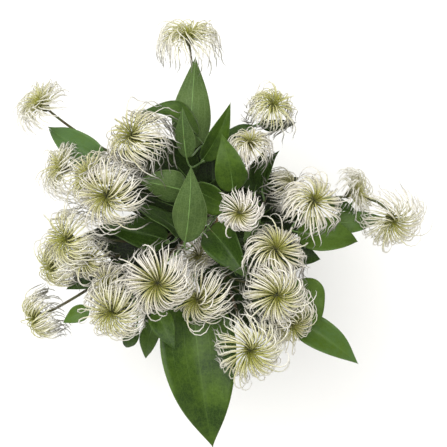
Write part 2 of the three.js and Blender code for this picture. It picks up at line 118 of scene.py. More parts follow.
print(len(HEADS), "seed heads")

# %% [markdown]
# A leaf's stalk leaves its stem's path number "path", where 0 is the main one, at the share "at".
# Foot and tip are the ends of the blade's midrib, arch is how far the middle of the blade rises
# from the line between them, and roll turns the blade about that line: at 180 its underside shows.

# %% The leaves
Leaf = namedtuple("Leaf", "stem path at foot tip width arch roll")

LEAVES = [
    Leaf(2, 0, 0.5, (-14, 66, 243), (-9, 152, 224), 34, 4, 180),
    Leaf(2, 0, 0.5, (-7, 77, 250), (-60, 96, 258), 26, 12, 50),
    Leaf(2, 0, 0.4, (-16, 57, 266), (-19, 100, 292), 17, 3, 165),
    Leaf(2, 1, 0.3, (-2, 57, 244), (23, 106, 268), 21, 4, 20),
    Leaf(0, 0, 0.68, (25, 28, 264), (15, 77, 286), 26, 5, 0),
    Leaf(2, 1, 0.6, (51, 90, 222), (84, 92, 214), 12, 3, 20),
    Leaf(2, 1, 0.4, (17, 65, 240), (49, 87, 234), 17, 9, -40),
    Leaf(1, 3, 0.55, (52, 31, 236), (67, 64, 254), 18, 4, -30),
    Leaf(1, 3, 0.3, (45, 28, 220), (54, 66, 236), 25, 4, 0),
    Leaf(3, 3, 0.4, (-15, 27, 262), (-60, 37, 276), 29, 5, 170),
    Leaf(0, 0, 0.35, (-17, -18, 282), (-11, 48, 316), 31, 6, 175),
    Leaf(0, 0, 0.4, (-8, 30, 252), (33, 14, 266), 28, 4, 30),
    Leaf(0, 0, 0.3, (5, -7, 252), (38, -50, 274), 34, 6, 0),
    Leaf(5, 2, 0.4, (-20, -12, 254), (-68, 14, 262), 24, 5, 50),
    Leaf(4, 2, 0.3, (-36, -16, 232), (-97, -4, 242), 30, 6, 0),
    Leaf(4, 0, 0.5, (-93, -46, 210), (-130, -63, 206), 18, 4, 0),
    Leaf(3, 0, 0.56, (-91, 53, 226), (-147, 89, 206), 30, 6, 0),
    Leaf(5, 0, 0.5, (-45, -87, 240), (-55, -126, 220), 16, 5, 0),
    Leaf(5, 0, 0.8, (-63, -96, 238), (-73, -115, 226), 14, 4, 0),
    Leaf(5, 3, 0.4, (-11, -66, 250), (7, -205, 236), 66, 14, -6),
    Leaf(5, 2, 0.5, (-42, -78, 268), (-26, -112, 278), 20, 4, 0),
    Leaf(1, 0, 0.55, (84, -9, 246), (139, -18, 236), 32, 7, 0),
    Leaf(1, 0, 0.75, (115, -1, 224), (165, 5, 216), 18, 6, 0),
    Leaf(1, 1, 0.3, (112, 20, 232), (140, 8, 230), 11, 3, 0),
    Leaf(6, 3, 0.4, (83, -53, 250), (103, -94, 246), 33, 6, 0),
    Leaf(6, 1, 0.5, (78, -86, 230), (141, -131, 220), 30, 7, 0),
    Leaf(6, 3, 0.6, (73, -24, 240), (105, -34, 236), 20, 4, 0),
    Leaf(2, 0, 0.3, (7, 25, 196), (4, 84, 195), 36, 2, 0),
    Leaf(6, 0, 0.3, (26, -46, 208), (72, -112, 212), 46, 4, 0),
    Leaf(3, 0, 0.16, (-22, 24, 166), (-86, 68, 174), 40, 3, 0),
    Leaf(4, 0, 0.14, (-22, -5, 162), (-98, -46, 174), 42, 3, 0),
    Leaf(2, 0, 0.16, (6, 24, 164), (-8, 102, 174), 38, 3, 0),
    Leaf(1, 0, 0.12, (34, 0, 172), (108, 2, 176), 40, 3, 0),
    Leaf(4, 0, 0.6, (-107, -80, 226), (-131, -93, 222), 14, 3, 0),
    Leaf(6, 3, 0.3, (36, -16, 238), (35, -47, 246), 18, 4, 0),
    Leaf(0, 0, 0.7, (46, 8, 272), (34, -18, 268), 13, 3, 150),
    Leaf(1, 0, 0.2, (22, 18, 190), (88, 42, 196), 38, 3, 0),
    Leaf(3, 0, 0.2, (-17, 41, 206), (-57, 80, 226), 38, 7, 0),
    Leaf(6, 0, 0.2, (10, -26, 201), (26, -100, 202), 44, 5, 0),
    Leaf(4, 0, 0.4, (-58, -42, 200), (-100, -90, 204), 44, 6, 0),
    Leaf(6, 0, 0.24, (21, -15, 198), (92, -42, 200), 46, 7, 0),
    Leaf(3, 0, 0.24, (-26, 13, 200), (-92, 33, 210), 40, 7, 0),
    Leaf(5, 0, 0.36, (-27, -43, 206), (-55, -104, 210), 36, 6, 0),
    Leaf(0, 0, 0.22, (9, 14, 204), (33, 48, 212), 31, 5, 0),
    Leaf(4, 0, 0.2, (-38, -20, 192), (-114, -10, 190), 46, 4, 0),
]
print(len(LEAVES), "leaves")

# %% [markdown]
# ## Curves
# A stem, a leaf stalk and a midrib are all cubic Bézier curves. Such a curve needs only four
# points, starts in the direction of the second one and ends in the direction from the third, so a
# shoot can leave its stem along the stem and enter a seed head along the head's own axis.

# %% Directions and curves
UPRIGHT = np.array([0, 0, 1.0])


def unit(vectors):
    """Each vector divided by its own length."""
    vectors = np.asarray(vectors, float)
    return vectors / np.linalg.norm(vectors, axis=-1, keepdims=True)


def curve_point(curve, share):
    """With s the share: (1-s)^3 A + 3 (1-s)^2 s B + 3 (1-s) s^2 C + s^3 D."""
    s = np.asarray(share, float)[..., None]
    a, b, c, d = curve
    return (1 - s) ** 3 * a + 3 * (1 - s) ** 2 * s * b + 3 * (1 - s) * s**2 * c + s**3 * d


def curve_direction(curve, share):
    """The curve's derivative made one long: (1-s)^2 (B-A) + 2 (1-s) s (C-B) + s^2 (D-C)."""
    s = np.asarray(share, float)[..., None]
    a, b, c, d = curve
    return unit((1 - s) ** 2 * (b - a) + 2 * (1 - s) * s * (c - b) + s**2 * (d - c))


def parting(curve, at, goal):
    """The way a side branch sets out: halfway between the curve's own direction and the straight
    line to where the branch is going."""
    return unit(curve_direction(curve, at) + unit(goal - curve_point(curve, at)))


# %% [markdown]
# The paths repeat the frame's rules. A stem passes the tie at a set place and lean, and its main
# path goes on from there to its first head. The other heads of the stem end shoots.

# %% Paths of the stems and shoots
def facing(head):
    """The way a head faces: (cos rise cos bearing, cos rise sin bearing, sin rise)."""
    bearing, rise = radians(head.bearing), radians(head.rise)
    return np.array([np.cos(rise) * np.cos(bearing), np.cos(rise) * np.sin(bearing), np.sin(rise)])


def stalk_path(start, direction, head):
    """A curve from start, in the given direction, up into the seat under a head's core."""
    end = np.array(head.centre) - facing(head) * (CORE_HEIGHT / 2 + SEAT_GAP)
    reach = 0.32 * np.linalg.norm(end - start)
    return np.array([start, start + direction * reach, end - facing(head) * reach, end])


def tie_crossing(stem):
    """Where a stem passes the tie, and its direction there. A ring stem stands at the ring's
    radius, and leans along the ring rather than outwards."""
    if stem == 0:
        return UPRIGHT * TIE_HEIGHT, UPRIGHT
    side, lean = radians(RING_START + (stem - 1) * 360 / RING_STEMS), radians(STEM_LEAN)
    point = [TIE_RING_RADIUS * np.sin(side), -TIE_RING_RADIUS * np.cos(side), TIE_HEIGHT]
    level = np.sin(lean)
    direction = [level * np.cos(side), level * np.sin(side), np.cos(lean)]
    return np.array(point), np.array(direction)


def stem_paths(stem):
    """The main path of a stem above the tie, then its shoots."""
    point, direction = tie_crossing(stem)
    first, *others = [head for head in HEADS if head.stem == stem]
    main = stalk_path(point, direction, first)
    shoots = []
    for head in others:
        goal = np.array(head.centre) - facing(head) * (CORE_HEIGHT / 2 + SEAT_GAP)
        shoots.append(stalk_path(curve_point(main, head.at), parting(main, head.at, goal), head))
    return [main, *shoots]


PATHS = [stem_paths(stem) for stem in range(RING_STEMS + 1)]
print("paths on each stem:", [len(paths) for paths in PATHS])

# %% [markdown]
# ## Lofting
# A loft joins rings of points into a closed skin, as ribs carry the skin of a hull. One call can
# make a whole batch of equal parts, such as all the styles of a head, because the rings are one
# array: part, ring, point round the ring, and coordinate. Each end is closed by a fan of faces on
# a point in its middle, so the skin has no hole. Every point also carries three marks that the
# materials read: how far along the part it lies, how far across, and the tone of its part. On a
# style the mark across is not a width but the share of painted shade.

# %% The lofting function
MARKS = ["along", "across", "tone"]
Part = namedtuple("Part", "points triangles marks finish")


def loft(rings, along=0.0, across=0.0, tone=0.0, finish=0):
    """Joins point (i, j) of each ring to (i, j+1), (i+1, j+1) and (i+1, j) by two triangles. Where
    a ring runs anticlockwise, seen from the end of the part, they face outwards. The marks and the
    finish of each column of faces are spread over the part from whatever shape they come in."""
    pieces, count, around, _ = rings.shape
    marks = np.empty(rings.shape)
    marks[..., 0], marks[..., 1], marks[..., 2] = along, across, tone

    def with_poles(values):
        poles = values[:, [0, -1]].mean(axis=2)
        return np.concatenate([values.reshape(pieces, -1, 3), poles], axis=1).reshape(-1, 3)

    i, j = np.divmod(np.arange((count - 1) * around), around)
    after = (j + 1) % around
    a, b, c, d = i * around + j, i * around + after, (i + 1) * around + after, (i + 1) * around + j
    column = np.arange(around)
    beyond, last = (column + 1) % around, (count - 1) * around
    start_pole, end_pole = np.full(around, count * around), np.full(around, count * around + 1)
    triangles = np.concatenate([
        np.stack([a, b, c], 1),
        np.stack([a, c, d], 1),
        np.stack([start_pole, beyond, column], 1),
        np.stack([end_pole, last + column, last + beyond], 1),
    ])
    each = np.broadcast_to(finish, around)
    finishes = np.concatenate([each[j], each[j], each, each])
    offsets = np.arange(pieces)[:, None, None] * (count * around + 2)
    return Part(
        with_poles(rings),
        (triangles + offsets).reshape(-1, 3),
        with_poles(marks),
        np.tile(finishes, pieces),
    )


# %% [markdown]
# A tube is the simplest loft: a ring that is carried along a path. If each ring picked its own
# turn about the path the tube would twist, so every ring takes over the turn of the one before.

# %% Tubes
def square_to(direction):
    """A direction at right angles to the given one: its cross product with the axis that it is
    furthest from."""
    axis = np.eye(3)[np.argmin(np.abs(direction))]
    return unit(np.cross(direction, axis))


def frames(points):
    """Direction, side and other side of a path at each of its points. The direction is the
    difference of the neighbouring points. Each side is the one before, less its share along the
    new direction."""
    direction = unit(np.gradient(points, axis=0))
    side = np.empty_like(points)
    held = square_to(direction[0])
    for i, forward in enumerate(direction):
        held = unit(held - forward * (held @ forward))
        side[i] = held
    return direction, side, np.cross(direction, side)


def tube_rings(points, radii, sides, ribs=0.0):
    """Rings of points + r (cos a * side + sin a * other), where every second point of a ring is
    raised by the share "ribs" of the radius and the others are lowered by it."""
    _, side, other = frames(points)
    angle = 2 * pi * np.arange(sides) / sides
    spoke = side[:, None] * np.cos(angle)[:, None] + other[:, None] * np.sin(angle)[:, None]
    radius = np.broadcast_to(radii, len(points))[:, None] * (1 + ribs * np.cos(angle * sides / 2))
    return points[:, None] + spoke * radius[..., None]


# %% [markdown]
# ## From arrays to a piece
# The arrays of a piece's parts are put one after another and handed to the mesh in single calls.
# Its volume is the sum of a . (b x c) / 6 over its triangles; it comes out above zero only if the
# faces point outwards, so printing it is a check.

# %% Make a piece
def make_piece(name, parts, finishes, node):
    """One object at the origin whose mesh holds all the parts, with the marks as attributes. It
    stands for the frame's node of that name."""
    counts = np.cumsum([0] + [len(part.points) for part in parts[:-1]])
    points = np.concatenate([part.points for part in parts]) * MM
    triangles = np.concatenate([part.triangles + start for part, start in zip(parts, counts)])
    marks = np.concatenate([part.marks for part in parts])
    mesh = bpy.data.meshes.new(name)
    mesh.vertices.add(len(points))
    mesh.vertices.foreach_set("co", points.ravel())
    mesh.loops.add(triangles.size)
    mesh.loops.foreach_set("vertex_index", triangles.ravel())
    mesh.polygons.add(len(triangles))
    mesh.polygons.foreach_set("loop_start", np.arange(len(triangles)) * 3)
    mesh.polygons.foreach_set("material_index", np.concatenate([part.finish for part in parts]))
    mesh.polygons.foreach_set("use_smooth", np.ones(len(triangles), bool))
    mesh.update(calc_edges=True)
    for column, mark in enumerate(MARKS):
        attribute = mesh.attributes.new(mark, "FLOAT", "POINT")
        attribute.data.foreach_set("value", marks[:, column].astype(np.float32))
    for finish in finishes:
        mesh.materials.append(finish)
    piece = bpy.data.objects.new(name, mesh)
    bpy.context.scene.collection.objects.link(piece)
    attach(piece, "root")
    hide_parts(node)
    a, b, c = np.moveaxis(points[triangles], 1, 0)
    volume = np.einsum("ij,ij->", a, np.cross(b, c)) / 6 * 1e6
    print(f"{name}: {len(triangles)} triangles, {volume:.2f} cubic centimetres")
    return piece


# %% [markdown]
# ## Finishes
# Every finish is one Principled shader whose colour, roughness and bump come from patterns. The
# patterns follow the marks where they belong to a leaf's or a style's own length and width, and
# Object coordinates where they are only mottling. Colours are given as they look on a screen.

# %% Colours, nodes and materials
def linear(hex_colour):
    """sRGB to linear light: c / 12.92 below 0.04045, otherwise ((c + 0.055) / 1.055) ^ 2.4."""
    c = np.array([int(hex_colour[i : i + 2], 16) for i in (1, 3, 5)]) / 255
    return (*np.where(c <= 0.04045, c / 12.92, ((c + 0.055) / 1.055) ** 2.4), 1.0)


def add_node(tree, kind, inputs=(), output=0, stops=(), **settings):
    """Adds a shader node and gives back one of its outputs. The inputs come by name or in their
    order: another node's output is linked, and any other value is set on the socket. The stops
    of a colour ramp are pairs of a place from 0 to 1 and a hex colour."""
    node = tree.nodes.new("ShaderNode" + kind)
    for name, value in settings.items():
        setattr(node, name, value)
    for place, value in inputs.items() if isinstance(inputs, dict) else enumerate(inputs):
        if isinstance(value, bpy.types.NodeSocket):
            tree.links.new(value, node.inputs[place])
        else:
            node.inputs[place].default_value = value
    if stops:
        elements = node.color_ramp.elements
        while len(elements) < len(stops):
            elements.new(0.5)
        for element, (place, colour) in zip(elements, stops):
            element.position, element.color = place, linear(colour)
    return node.outputs[output]


def new_finish(name, **values):
    """A material with its Principled shader, whose uniform values are set on its own sockets."""
    material = bpy.data.materials.new(name)
    material.use_nodes = True
    shader = material.node_tree.nodes["Principled BSDF"]
    for socket, value in values.items():
        shader.inputs[socket.replace("_", " ")].default_value = value
    return material, material.node_tree, shader


def mottle(tree, size_mm, stretch=(1, 1, 1)):
    """Noise from 0 to 1 whose patches are about size_mm across, and longer along an axis whose
    stretch is below 1."""
    place = add_node(tree, "TexCoord", output="Object")
    place = add_node(tree, "Mapping", {"Vector": place, "Scale": stretch})
    scale = 1 / (size_mm * MM)
    return add_node(tree, "TexNoise", {"Vector": place, "Scale": scale, "Detail": 3.0}, "Fac")


def mottled_finish(name, size_mm, stops, stretch=(1, 1, 1), relief=0, **values):
    """A finish whose colour is a ramp over one noise, with the same noise as its relief."""
    material, tree, shader = new_finish(name, **values)
    patches = mottle(tree, size_mm, stretch)
    tree.links.new(add_node(tree, "ValToRGB", [patches], stops=stops), shader.inputs["Base Color"])
    if relief:
        bump = {"Height": patches, "Strength": relief, "Distance": 0.2 * MM}
        tree.links.new(add_node(tree, "Bump", bump), shader.inputs["Normal"])
    return material


# %% [markdown]
# A clematis leaf is leathery and hairless, with a thin wax that gives it a satin gloss. Five
# nerves run in arcs from its foot to its tip. The blade is laid out by the share across it, so a
# nerve is simply a line where that share stays the same. Between the nerves lies a net of fine
# veins, drawn with coarser meshes than a real leaf's, of 2.6 mm, so that they can be seen. The
# underside is paler and greyer, and its nerves are paler still. In the photograph the upper
# leaves are lighter and yellower than the lower ones, so they carry a higher tone: the lower
# leaves are older, and their darker green is also painted shade for the depth of the bunch.
# The leaves that reach furthest out are lighter again and a little bluer, so they carry the
# highest; that is painted light, for leaves out in the open.

# %% Leaf finishes
NERVE_SPACING = 0.34
NET_MESH = 2.6
GREEN_PLACES = 0.336, 0.608, 0.8, 0.95


def leaf_finish(name, greens, nerve, nerve_share, roughness):
    """The green is a ramp over 0.36 broad noise + 0.2 fine noise + 0.56 tone. Nerves, net and
    margin are smooth steps of their distance, in a paler colour. The relief is 0.5 fine noise -
    0.7 nerves - 0.25 net, so both lie sunk in the blade."""
    material, tree, shader = new_finish(name, IOR=1.42, Specular_IOR_Level=0.3)
    smooth = {"interpolation_type": "SMOOTHSTEP"}
    across, tone = [
        add_node(tree, "Attribute", (), "Fac", attribute_name=mark) for mark in MARKS[1:]
    ]
    across = add_node(tree, "Math", [across], operation="ABSOLUTE")
    to_nerve = add_node(tree, "Math", [across, NERVE_SPACING / 2], operation="PINGPONG")
    nerves = add_node(tree, "MapRange", [to_nerve, 0, 0.022, 1, 0], **smooth)
    midrib = add_node(tree, "MapRange", [across, 0, 0.055, nerve_share, 0], **smooth)
    margin = add_node(tree, "MapRange", [across, 0.93, 1, 0, 0.5], **smooth)
    place = add_node(tree, "TexCoord", output="Object")
    cells = {"Vector": place, "Scale": 1 / (NET_MESH * MM)}
    to_vein = add_node(tree, "TexVoronoi", cells, "Distance", feature="DISTANCE_TO_EDGE")
    net = add_node(tree, "MapRange", [to_vein, 0, 0.12, 1, 0], **smooth)

    patches = add_node(tree, "Math", [tone, 0.56], operation="MULTIPLY")
    for size_mm, weight in [(30, 0.36), (4, 0.2)]:
        terms = [mottle(tree, size_mm), weight, patches]
        patches = add_node(tree, "Math", terms, operation="MULTIPLY_ADD")
    colour = add_node(tree, "ValToRGB", [patches], stops=list(zip(GREEN_PLACES, greens)))
    lines = add_node(tree, "Math", [nerves, 0.6 * nerve_share], operation="MULTIPLY")
    for line in (midrib, margin):
        lines = add_node(tree, "Math", [lines, line], operation="MAXIMUM")
    for share in (add_node(tree, "Math", [net, 0.18], operation="MULTIPLY"), lines):
        colour = add_node(tree, "Mix", {0: share, 6: colour, 7: linear(nerve)}, 2, data_type="RGBA")
    tree.links.new(colour, shader.inputs["Base Color"])

    gloss = [mottle(tree, 5), 0.2, roughness - 0.1]
    gloss = add_node(tree, "Math", gloss, operation="MULTIPLY_ADD")
    tree.links.new(gloss, shader.inputs["Roughness"])
    relief = add_node(tree, "Math", [nerves, -0.7], operation="MULTIPLY")
    for height, weight in [(net, -0.25), (mottle(tree, 3), 0.5)]:
        relief = add_node(tree, "Math", [height, weight, relief], operation="MULTIPLY_ADD")
    bump = {"Height": relief, "Strength": 0.5, "Distance": 0.25 * MM}
    tree.links.new(add_node(tree, "Bump", bump), shader.inputs["Normal"])
    return material


UPPER_GREENS = "#0b1304", "#263c0c", "#48611a", "#4c6839"
UNDER_GREENS = "#213417", "#384d22", "#4c612d", "#4e6739"
leaf_upper = leaf_finish("leaf_upper_side_waxed", UPPER_GREENS, "#5d7832", 0.22, 0.42)
leaf_under = leaf_finish("leaf_underside_glaucous", UNDER_GREENS, "#7f955f", 0.3, 0.55)
print("leaf finishes:", leaf_upper.name, leaf_under.name)

# %% [markdown]
# The year's shoots of a clematis are half woody: green on the young side, flushed with purple
# brown where the sun reached, and matt. Where a stem is cut, the pale pith shows, speckled with
# vessels. The leaf stalks are green like the blades, with brown here and there.

# %% Stem finishes
def bark_finish():
    """Green and brown drawn out along the upright stems, darker in fine lines."""
    material, tree, shader = new_finish("stem_half_woody", Roughness=0.62, IOR=1.45)
    tone = add_node(tree, "Attribute", (), "Fac", attribute_name="tone")
    drawn_out = mottle(tree, 9, (1, 1, 0.35))
    flush = add_node(tree, "Math", [tone, 0.35, drawn_out], operation="MULTIPLY_ADD")
    stops = [(0.3, "#57682f"), (0.6, "#555a30"), (0.85, "#53442f")]
    colour = add_node(tree, "ValToRGB", [flush], stops=stops)
    grain = mottle(tree, 0.9, (1, 1, 0.1))
    dark = add_node(tree, "Math", [grain, 0.4], operation="MULTIPLY")
    colour = add_node(tree, "Mix", {0: dark, 6: colour, 7: linear("#2e2a1c")}, 2, data_type="RGBA")
    tree.links.new(colour, shader.inputs["Base Color"])
    bump = {"Height": grain, "Strength": 0.5, "Distance": 0.2 * MM}
    tree.links.new(add_node(tree, "Bump", bump), shader.inputs["Normal"])
    return material


stem_bark = bark_finish()
pith_greens = [(0.35, "#9fae74"), (0.6, "#d8dcb8")]
stem_pith = mottled_finish("stem_cut_pith", 0.5, pith_greens, Roughness=0.8, IOR=1.4)
stalk_greens = [(0.35, "#6f8f4c"), (0.6, "#5d7a3d"), (0.85, "#6a5238")]
leaf_stalk_green = mottled_finish("leaf_stalk", 10, stalk_greens, Roughness=0.5, IOR=1.45)

# %% The finishes of a leafy stem, in their order
LEAFY_STEM_FINISHES = [leaf_upper, leaf_under, leaf_stalk_green, stem_bark, stem_pith]
UPPER, UNDER, STALK, BARK, PITH = range(5)

# %% [markdown]
# A style is a stiff thread clothed in silk: it is yellow-green and bare at the seed, and further
# out its hairs make it cream and then silver. Ripe heads turn tan at the heart. The silk scatters
# light along its edges, which the shader's sheen stands for. The styles that curl under a head,
# or lie deep in the bunch, are given a dull dark olive. That stands in for the shade that a real
# head's many more styles and hairs cast on each other. The seeds are olive and tan, each about
# 1.5 mm wide in the noise that colours them.

# %% Seed head finishes
def silk_finish():
    """Colour by the share along a style, mixed between a young and a ripe ramp by the tone, with
    painted shade in grey-taupe patches of up to 0.3, and painted shade in a dull olive for the
    underside and the deep heads by 0.8 of the mark across."""
    material, tree, shader = new_finish(
        "style_silk", Roughness=0.5, IOR=1.45, Sheen_Weight=0.08, Sheen_Roughness=0.4
    )
    along, across, tone = [
        add_node(tree, "Attribute", (), "Fac", attribute_name=mark) for mark in MARKS
    ]
    young_stops = [
        (0.0, "#3f4404"), (0.12, "#7a800c"), (0.24, "#a5a82a"),
        (0.42, "#d0ce8c"), (0.62, "#e8e6d3"), (1.0, "#f1efe8"),
    ]
    ripe_stops = [
        (0.0, "#262805"), (0.1, "#55560e"), (0.2, "#8a892c"),
        (0.31, "#c9c394"), (0.45, "#e7e1d7"), (1.0, "#efeae3"),
    ]
    colour = add_node(tree, "ValToRGB", [along], stops=young_stops)
    ripe = add_node(tree, "ValToRGB", [along], stops=ripe_stops)
    # Painted shade: grey-taupe patches of up to 0.3, at random places, for the shade between
    # styles.
    painted_shade_patches = [mottle(tree, 2.5), 0.35, 0.7, 0, 0.3]
    painted_shade_patches = add_node(tree, "MapRange", painted_shade_patches, interpolation_type="SMOOTHSTEP")
    # Painted shade: a dull olive on the underside of each head and on the heads deep in the bunch.
    below = add_node(tree, "Math", [across, 0.8], operation="MULTIPLY")
    for share, other in [(tone, ripe), (painted_shade_patches, linear("#8f8272")), (below, linear("#3d3a26"))]:
        colour = add_node(tree, "Mix", {0: share, 6: colour, 7: other}, 2, data_type="RGBA")
    tree.links.new(colour, shader.inputs["Base Color"])
    return material


style_silk = silk_finish()
seed_browns = [(0.3, "#23260a"), (0.55, "#43461a"), (0.8, "#6b6430")]
seed_coat = mottled_finish("seed_coat", 1.5, seed_browns, Roughness=0.55, IOR=1.45)
SEED_HEAD_FINISHES = [style_silk, seed_coat]
SILK, SEEDS = range(2)

# %% [markdown]
# The tie is jute twine: dull golden-brown bast fibres that lie round the bunch and break off in
# a fuzz. The noise that colours the fibres is squeezed upright, so it runs the way they lie.

# %% Twine finish
jute_browns = [(0.3, "#7d5f37"), (0.55, "#b08f5e"), (0.8, "#cdb283")]
twine_jute = mottled_finish(
    "twine_jute", 0.35, jute_browns, (1, 1, 2.5), relief=0.7,
    Roughness=0.9, IOR=1.5, Sheen_Weight=0.15,
)
print("finishes:", [material.name for material in bpy.data.materials])

# %% [markdown]
# ## Stems
# A stem is one tube from its cut end to its first head. It has six low ribs, is thickest below
# the tie, and swells at each node, where a shoot or a leaf stalk leaves it.

# %% Stems and shoots
def swelling(points, places):
    """1 + 0.45 exp(-(d/3 mm)^2) for the distance d to the nearest of some places."""
    if not len(places):
        return np.ones(len(points))
    nearest = np.linalg.norm(points[:, None] - np.array(places)[None], axis=-1).min(axis=1)
    return 1 + 0.45 * np.exp(-((nearest / 3) ** 2))


def shoots_and_leaves(stem, path):
    """The points at which something leaves a path of a stem."""
    curve = PATHS[stem][path]
    shares = [leaf.at for leaf in LEAVES if leaf.stem == stem and leaf.path == path]
    if path == 0:
        shares += [head.at for head in HEADS if head.stem == stem and head.at < 1]
    return [curve_point(curve, share) for share in shares]


def stem_tube(stem):
    """The main path of a stem with its straight part below the tie, cut level at the ground. Its
    radius falls in straight lines from the tie: to the upper radius at 25 mm above it, and to
    1.1 mm at 220 mm."""
    point, direction = tie_crossing(stem)
    foot = point - direction * point[2] / direction[2]
    lower = foot + (point - foot) * np.linspace(0, 1, 30)[:-1, None]
    upper = curve_point(PATHS[stem][0], np.linspace(0, 1, 64))
    points = np.concatenate([lower, upper])
    travelled = np.linalg.norm(points - point, axis=1) * np.where(points[:, 2] < TIE_HEIGHT, -1, 1)
    radii = np.interp(travelled, [0, 25, 220], [LOWER_STEM_RADIUS, UPPER_STEM_RADIUS, 1.1])
    radii = radii * swelling(points, shoots_and_leaves(stem, 0))
    rings = tube_rings(points, radii, 12, ribs=0.07)
    rings[0] -= direction * (rings[0][:, 2:] / direction[2])
    return loft(rings[None], tone=stem / RING_STEMS, finish=BARK)


def shoot_tube(stem, path):
    """A shoot. Its radius falls from 1.5 mm, in a collar where it leaves the stem, to its own
    radius 8 mm on, and to 0.85 mm at 120 mm."""
    points = curve_point(PATHS[stem][path], np.linspace(0, 1, 44))
    travelled = np.linalg.norm(points - points[0], axis=1)
    radii = np.interp(travelled, [0, 3, 8, 120], [1.5, 1.35, SHOOT_RADIUS, 0.85])
    radii = radii * swelling(points, shoots_and_leaves(stem, path))
    rings = tube_rings(points, radii, 10, ribs=0.06)
    return loft(rings[None], tone=0.3 + 0.1 * path, finish=BARK)


# %% [markdown]
# ## Leaves
# A blade is a loft whose ring is the closed outline of the blade's cross-section: over the upper
# side from the left margin to the right, and back along the underside. The halves rise from the
# midrib in a shallow valley, the margins wave, and the blade swells a little between its nerves.

# %% Blades
STATIONS = 34
ACROSS = np.linspace(-1, 1, 13)
FOOT_POWER = 0.55
TIP_POWER = 1.15


def leaf_curves(leaf):
    """The midrib as a cubic curve, and the direction that the blade's upper side faces at its
    foot. The midrib is a parabola through foot and tip, raised by the arch in its middle. It
    sways to one side by up to 0.06 of its length, by the sine of a sum of its end coordinates."""
    foot, tip = np.array(leaf.foot, float), np.array(leaf.tip, float)
    chord = unit(tip - foot)
    up = unit(UPRIGHT - chord * chord[2])
    turn = radians(leaf.roll)
    up = up * np.cos(turn) + np.cross(chord, up) * np.sin(turn)
    sway = -0.06 * np.sin(1.7 * foot[0] + 0.9 * tip[1]) * np.linalg.norm(tip - foot)
    middle = (foot + tip) / 2 + up * 2 * leaf.arch * np.sign(up[2]) + sway * np.cross(chord, up)
    return np.array([foot, foot + (middle - foot) * 2 / 3, tip + (middle - tip) * 2 / 3, tip]), up


def youth_and_light(leaf):
    """0 for the lowest leaves and 1 for the highest, by the foot's height. The low leaves are
    taken as the oldest, and the darker tone that this gives them is also painted shade.
    """
    return np.clip((leaf.foot[2] - LOWEST_LEAF) / (HIGHEST_LEAF - LOWEST_LEAF), 0, 1)


def outlying_painted_light(leaf):
    """Painted light for a leaf out in the open: 0 for a leaf among the heads, rising from 130 mm to
    1 where the tip is 160 mm or more from the axis. The broadest leaf is dark in the photograph, so
    this falls to 0 from 35 to 50 mm of width."""
    outside = np.clip((np.hypot(*leaf.tip[:2]) - 130) / 30, 0, 1)
    return outside * np.clip((50 - leaf.width) / 15, 0, 1)


def blade_half_width(leaf, u):
    """Half the width at the share u: u^0.55 (1-u)^1.15, scaled so that its peak is 0.58 of the
    leaf's width, and 0.05 less in young leaves. A short foot of 0.7 mm joins the stalk."""
    peak = FOOT_POWER / (FOOT_POWER + TIP_POWER)
    shape = (u / peak) ** FOOT_POWER * ((1 - u) / (1 - peak)) ** TIP_POWER
    foot = 0.7 * np.exp(-((u / 0.03) ** 2))
    return (0.58 - 0.05 * youth_and_light(leaf)) * leaf.width * np.maximum(shape, 0.012) + foot


def blade(leaf, number):
    """Midrib + across v half cos(fold) / cos(LEAF_FOLD) + normal (half sin(fold) + 2 wave) |v|^1.2,
    plus a low swell between the nerves, where v runs from -1 to 1 over the blade. The fold is 11
    to 35 degrees and the twist up to 26 (u - 0.2) degrees, each by a sine of the leaf's number."""
    midrib, up = leaf_curves(leaf)
    u = (1 - np.cos(pi * np.linspace(0, 1, STATIONS))) / 2
    tangent = curve_direction(midrib, u)
    across = unit(np.cross(tangent, up))
    normal = unit(np.cross(across, tangent))
    twist = radians(26) * np.sin(12.9 * number) * (u - 0.2)[:, None]
    across, normal = (
        across * np.cos(twist) + normal * np.sin(twist),
        normal * np.cos(twist) - across * np.sin(twist),
    )
    half = blade_half_width(leaf, u)[:, None]
    v = ACROSS[None]
    wave = LEAF_WAVE * half * np.sin(9 * u[:, None] + 2.4 * number + v)
    fold = radians(LEAF_FOLD + 9 + 12 * np.sin(78.2 * number))
    flat = half * np.cos(fold) / np.cos(radians(LEAF_FOLD))
    rise = (np.sin(fold) * half + 2 * wave) * np.abs(v) ** 1.2
    rise = rise + 0.02 * half * (1 - np.cos(2 * pi * np.abs(v) / NERVE_SPACING)) / 2
    middle = curve_point(midrib, u)[:, None] + across[:, None] * (flat * v)[..., None]
    middle = middle + normal[:, None] * rise[..., None]
    thickness = (0.24 + 0.3 * (1 - np.abs(v))) * np.minimum(1, 0.3 + half)
    offset = normal[:, None] * (thickness / 2)[..., None]
    rings = np.concatenate([middle + offset, (middle - offset)[:, ::-1]], axis=1)
    width_mark = np.concatenate([ACROSS, ACROSS[::-1]])[None, None]
    finish = np.repeat([UPPER, UNDER], len(ACROSS))
    # Tone: age by height, which is also painted shade on the low leaves, and painted light on the
    # outlying ones.
    tone = 0.75 * youth_and_light(leaf) + 0.25 * ((number * 0.618) % 1) + 0.6 * outlying_painted_light(leaf)
    return loft(rings[None], u[None, :, None], width_mark, tone, finish)


# %% [markdown]
# The leaf stalk goes on under the blade as its midrib, tapering to nothing at the tip, so stalk
# and midrib are one tube.

